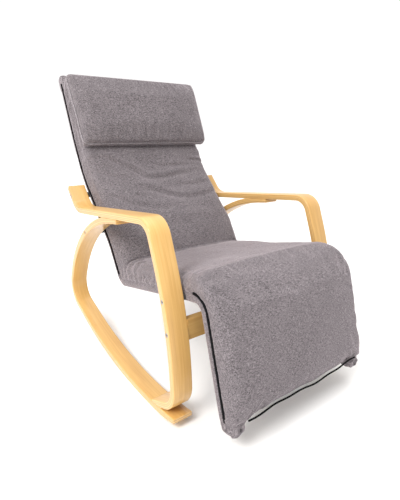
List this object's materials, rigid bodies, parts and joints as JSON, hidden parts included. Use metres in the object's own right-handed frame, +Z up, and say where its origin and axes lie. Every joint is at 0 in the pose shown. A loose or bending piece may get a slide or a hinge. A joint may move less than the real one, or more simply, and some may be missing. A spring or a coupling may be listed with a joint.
{
  "type": "rocking chair",
  "caption": "Rocking chair of bent birch laminate with padded fabric seat, high back, head pillow and a padded footrest that swings up from the front of the seat.",
  "frame": {"origin": "under the middle of the whole chair, on the floor that the runners stand on", "axes": "+Z up, -Y towards the sitter's feet, +X to the sitter's left"},
  "size_m": [0.67, 1.0788, 0.9845],
  "materials": {
    "birch_laminate": "clear satin lacquer on bent birch plies",
    "frame_wood": "plain sanded",
    "cover_fabric": "woven grey melange",
    "webbing": "coarse woven strap",
    "zinc_steel": "bright zinc",
    "bolt_steel": "dark zinc",
    "black_plastic": "moulded matte"
  },
  "bodies": {
    "chair": {"arm_bolts": "bolt_steel", "back_cushion": "cover_fabric", "back_foot_crossbar": "frame_wood", "back_webbing": "webbing", "front_seat_crossbar": "frame_wood", "front_stretcher": "birch_laminate", "head_crossbar": "frame_wood", "head_pillow": "cover_fabric", "hinge_pins": "zinc_steel", "knee_roll": "cover_fabric", "left_arm_leg": "birch_laminate", "left_hinge_seat_leaf": "zinc_steel", "left_rocker": "birch_laminate", "left_side_rail": "frame_wood", "lumbar_crossbar": "frame_wood", "rail_spacers": "black_plastic", "ratchet_gears": "zinc_steel", "rear_seat_crossbar": "frame_wood", "right_arm_leg": "birch_laminate", "right_hinge_seat_leaf": "zinc_steel", "right_rocker": "birch_laminate", "right_side_rail": "frame_wood", "rocker_bolts": "bolt_steel", "seat_bolts": "bolt_steel", "seat_cushion": "cover_fabric", "seat_frame_screws": "bolt_steel", "seat_leaf_screws": "zinc_steel", "seat_webbing": "webbing", "side_frame_dowels": "frame_wood", "stretcher_barrel_nuts": "bolt_steel", "stretcher_bolts": "bolt_steel", "threaded_inserts": "bolt_steel"},
    "footrest": {"foot_leaf_screws": "zinc_steel", "footrest_cushion": "cover_fabric", "footrest_screws": "bolt_steel", "hinge_housings": "zinc_steel", "left_footrest_rail": "frame_wood", "left_hinge_foot_leaf": "zinc_steel", "lower_footrest_slat": "frame_wood", "middle_footrest_slat": "frame_wood", "pawl_springs": "zinc_steel", "ratchet_pawls": "zinc_steel", "right_footrest_rail": "frame_wood", "right_hinge_foot_leaf": "zinc_steel", "upper_footrest_slat": "frame_wood"}
  },
  "joints": [
    {"name": "footrest_hinge", "type": "hinge", "parent": "chair", "child": "footrest", "pos_m": [0, -0.402, 0.372], "axis": [-1, 0, 0], "range_deg": [0, 72]}
  ]
}
